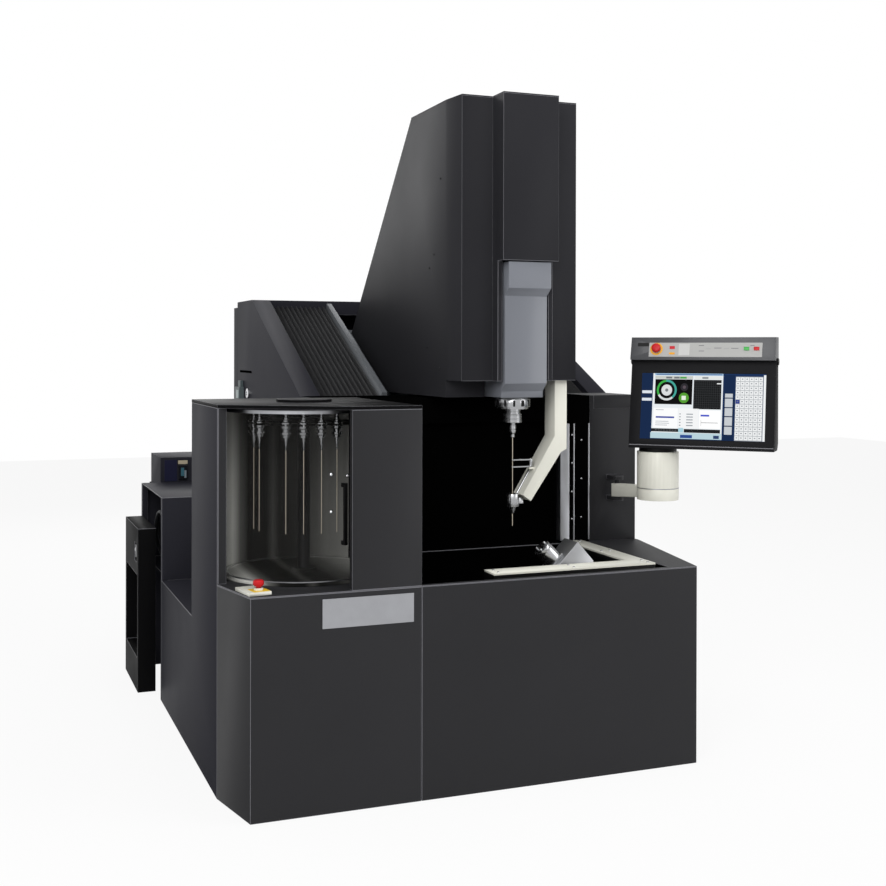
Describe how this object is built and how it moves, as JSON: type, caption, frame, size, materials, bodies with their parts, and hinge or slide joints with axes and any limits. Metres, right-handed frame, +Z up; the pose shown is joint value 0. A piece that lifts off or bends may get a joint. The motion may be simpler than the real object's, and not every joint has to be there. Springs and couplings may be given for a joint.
{
  "type": "electrical discharge drilling machine",
  "caption": "Column machine with a hanging electrode over a sunken table and drop tank, a glass-fronted electrode magazine, slanted bellows slideway and swinging control pendant.",
  "frame": {"origin": "bottom centre of the whole machine's box, on the floor", "axes": "+X to the machine's right, +Y to its back, +Z up"},
  "size_m": [2.3764, 2.8286, 2.72],
  "materials": {
    "charcoal": "fine textured dark gray paint",
    "graphite": "fine textured graphite paint",
    "black": "matt black paint",
    "ivory": "smooth ivory enamel",
    "head_gray": "semi-gloss gray enamel",
    "casting": "primed casting",
    "steel": "ground",
    "brass": "drawn",
    "bellows": "matt",
    "glass": "tinted",
    "screen": "gloss",
    "red": "gloss",
    "green": "gloss"
  },
  "bodies": {
    "machine": {"bed_casting": "casting", "levelling_feet": "steel", "front_left_cover": "charcoal", "front_right_cover": "charcoal", "left_side_cover": "graphite", "right_side_cover": "graphite", "right_enclosure": "charcoal", "left_cheek_cover": "graphite", "right_cheek_cover": "graphite", "rear_cover": "graphite", "deck_plate": "charcoal", "table_frame": "ivory", "table_pedestal": "black", "rear_wall": "black", "seal_strips": "steel", "magazine_housing": "charcoal", "magazine_top_cover": "charcoal", "magazine_liner": "black", "estop_plate": "ivory", "side_box": "graphite", "pump_cabinet": "graphite", "rear_cabinet": "graphite", "x_slideway": "steel", "left_bellows": "bellows", "right_bellows": "bellows", "rotary_bracket": "steel", "rotary_unit": "steel"},
    "saddle": {"saddle": "casting", "y_slideway": "steel"},
    "column": {"column_casting": "casting", "column_left_cover": "graphite", "column_right_cover": "graphite", "column_front_cover": "charcoal", "column_rear_cover": "graphite", "z_slideway": "steel"},
    "head": {"head_cover": "head_gray", "spindle_housing": "steel"},
    "spindle": {"spindle_nose": "steel", "collet_chuck": "steel", "electrode": "brass"},
    "guide": {"guide_arm": "ivory", "die_guide": "steel"},
    "steady": {"electrode_steady": "steel"},
    "carousel": {"carousel_disc": "steel", "tool_holders": "steel", "stored_electrodes": "brass"},
    "sliding_door": {"magazine_door": "glass", "door_handle": "black"},
    "magazine_estop": {"magazine_estop_button": "red"},
    "tank": {"drop_tank": "black"},
    "work_spindle": {"faceplate": "steel"},
    "swing_arm": {"pendant_arm": "ivory"},
    "pendant": {"pendant_post": "ivory", "pendant_housing": "black", "pendant_screen": "screen", "pendant_console": "head_gray"},
    "pendant_estop": {"pendant_estop_button": "red"},
    "start_key": {"green_button": "green"},
    "stop_key": {"red_button": "red"},
    "rear_door": {"cabinet_door": "charcoal"}
  },
  "joints": [
    {"name": "x_axis", "type": "slide", "parent": "machine", "child": "saddle", "axis": [1, 0, 0], "range_m": [-0.2, 0.2], "deforming": ["left_bellows", "right_bellows"]},
    {"name": "y_axis", "type": "slide", "parent": "saddle", "child": "column", "axis": [0, 1, 0], "range_m": [-0.125, 0.125]},
    {"name": "z_axis", "type": "slide", "parent": "column", "child": "head", "axis": [0, 0, 1], "range_m": [-0.2, 0]},
    {"name": "w_axis", "type": "slide", "parent": "column", "child": "guide", "axis": [0, 0, 1], "range_m": [-0.06, 0.06]},
    {"name": "spindle_turn", "type": "hinge", "parent": "head", "child": "spindle", "pos_m": [0.16783, -0.88265, 1.371], "axis": [0, 0, 1], "continuous": true},
    {"name": "steady_swing", "type": "hinge", "parent": "guide", "child": "steady", "pos_m": [0.25183, -0.88265, 1.2], "axis": [0, 0, 1], "range_deg": [0, 71]},
    {"name": "carousel_turn", "type": "hinge", "parent": "machine", "child": "carousel", "pos_m": [-0.73017, -0.86765, 1.385], "axis": [0, 0, 1], "continuous": true},
    {"name": "magazine_door_turn", "type": "hinge", "parent": "machine", "child": "sliding_door", "pos_m": [-0.73017, -0.86765, 1.13], "axis": [0, 0, 1], "range_deg": [-95, 0]},
    {"name": "magazine_estop_press", "type": "slide", "parent": "machine", "child": "magazine_estop", "axis": [0, 0, -1], "range_m": [0, 0.006], "stiffness_N_per_m": 1500, "springref_m": -0.002},
    {"name": "tank_lift", "type": "slide", "parent": "machine", "child": "tank", "axis": [0, 0, 1], "range_m": [0, 0.35]},
    {"name": "work_spindle_turn", "type": "hinge", "parent": "machine", "child": "work_spindle", "pos_m": [0.28003, -1.05065, 0.81143], "axis": [-0.7193, 0, 0.6947], "continuous": true},
    {"name": "pendant_arm_swing", "type": "hinge", "parent": "machine", "child": "swing_arm", "pos_m": [0.80983, -0.63265, 1.037], "axis": [0, 0, 1], "range_deg": [0, 75]},
    {"name": "pendant_swivel", "type": "hinge", "parent": "swing_arm", "child": "pendant", "pos_m": [0.80183, -0.99765, 1.085], "axis": [0, 0, 1], "range_deg": [-60, 60]},
    {"name": "pendant_estop_press", "type": "slide", "parent": "pendant", "child": "pendant_estop", "axis": [0.6673, 0.6862, -0.2894], "range_m": [0, 0.003], "stiffness_N_per_m": 1200, "springref_m": -0.002},
    {"name": "start_key_press", "type": "slide", "parent": "pendant", "child": "start_key", "axis": [0.6673, 0.6862, -0.2894], "range_m": [0, 0.003], "stiffness_N_per_m": 800, "springref_m": -0.002},
    {"name": "stop_key_press", "type": "slide", "parent": "pendant", "child": "stop_key", "axis": [0.6673, 0.6862, -0.2894], "range_m": [0, 0.003], "stiffness_N_per_m": 800, "springref_m": -0.002},
    {"name": "rear_door_swing", "type": "hinge", "parent": "machine", "child": "rear_door", "pos_m": [-1.00917, 1.39585, 0.55], "axis": [0, 0, 1], "range_deg": [0, 110]}
  ],
  "couplings": [
    {"joint": "steady_swing", "follows": "z_axis", "rad_per_m": -6.1087}
  ]
}
